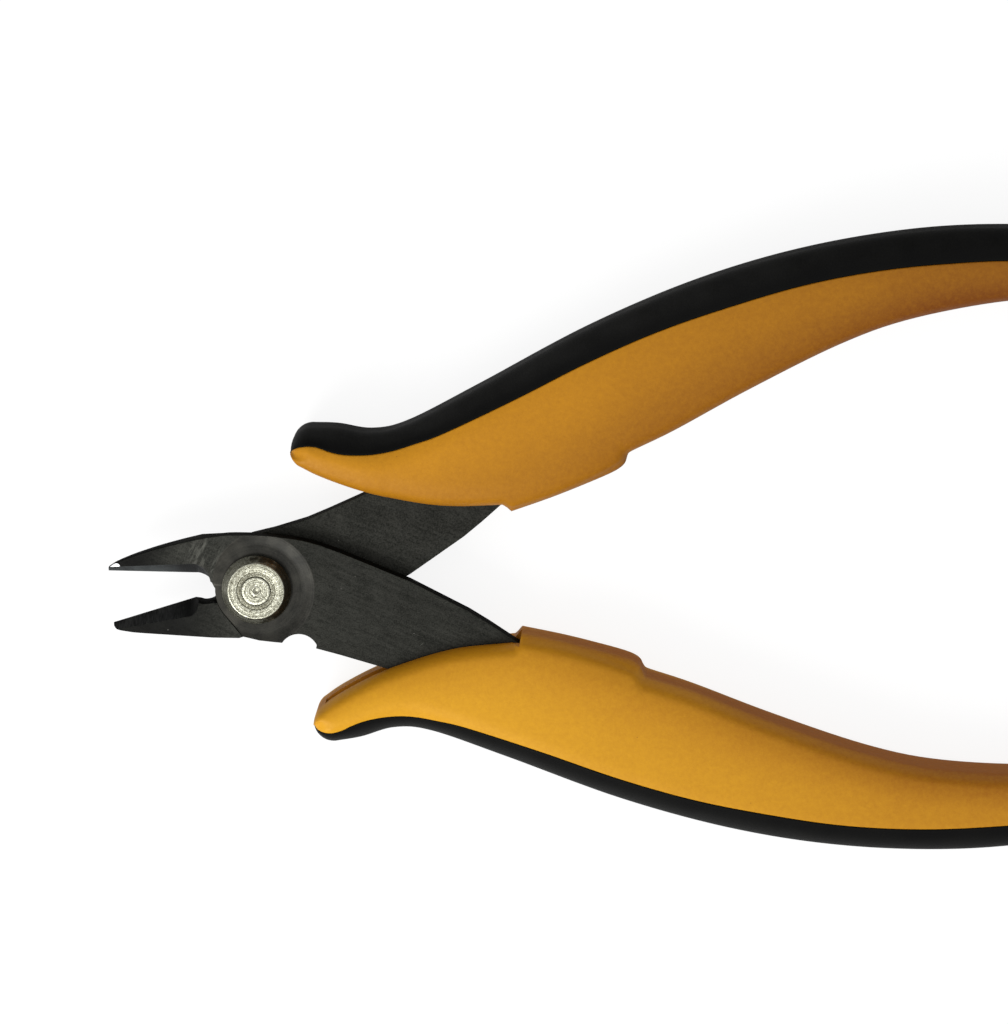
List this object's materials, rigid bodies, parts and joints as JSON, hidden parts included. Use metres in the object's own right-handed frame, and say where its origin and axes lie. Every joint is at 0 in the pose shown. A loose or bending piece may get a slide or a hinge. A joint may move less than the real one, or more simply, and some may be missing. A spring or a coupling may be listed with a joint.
{
  "type": "flush cutter",
  "caption": "Slim flush-cutting pliers with bevelled jaws, a turned pivot, a hidden return spring and two-tone moulded grips.",
  "frame": {"origin": "centre of the overall box in X and Y, on the plane of the grips' back faces that the tool lies on", "axes": "+X along the tool from the jaws to the handles, +Y towards the upper handle, +Z out of the face with the pivot's turned head"},
  "size_m": [0.1378, 0.074, 0.011],
  "materials": {
    "blackened_steel": "black oxide, fine satin grain",
    "orange_plastic": "satin moulded",
    "black_rubber": "matte soft overmould",
    "turned_steel": "lathe turned, fine rings",
    "spring_steel": "drawn wire"
  },
  "bodies": {
    "back_half": {"back_blade": "blackened_steel", "upper_grip_core": "orange_plastic", "upper_grip_overlay": "black_rubber", "pivot_sleeve": "turned_steel", "pivot_pin": "turned_steel", "spring_washer": "spring_steel", "return_spring": "spring_steel"},
    "front_half": {"front_blade": "blackened_steel", "lower_grip_core": "orange_plastic", "lower_grip_overlay": "black_rubber"}
  },
  "joints": [
    {"name": "pivot", "type": "hinge", "parent": "back_half", "child": "front_half", "pos_m": [-0.05153, 0, 0.0055], "axis": [0, 0, 1], "range_deg": [0, 20], "stiffness_Nm_per_rad": 0.8, "deforming": ["return_spring"]}
  ]
}
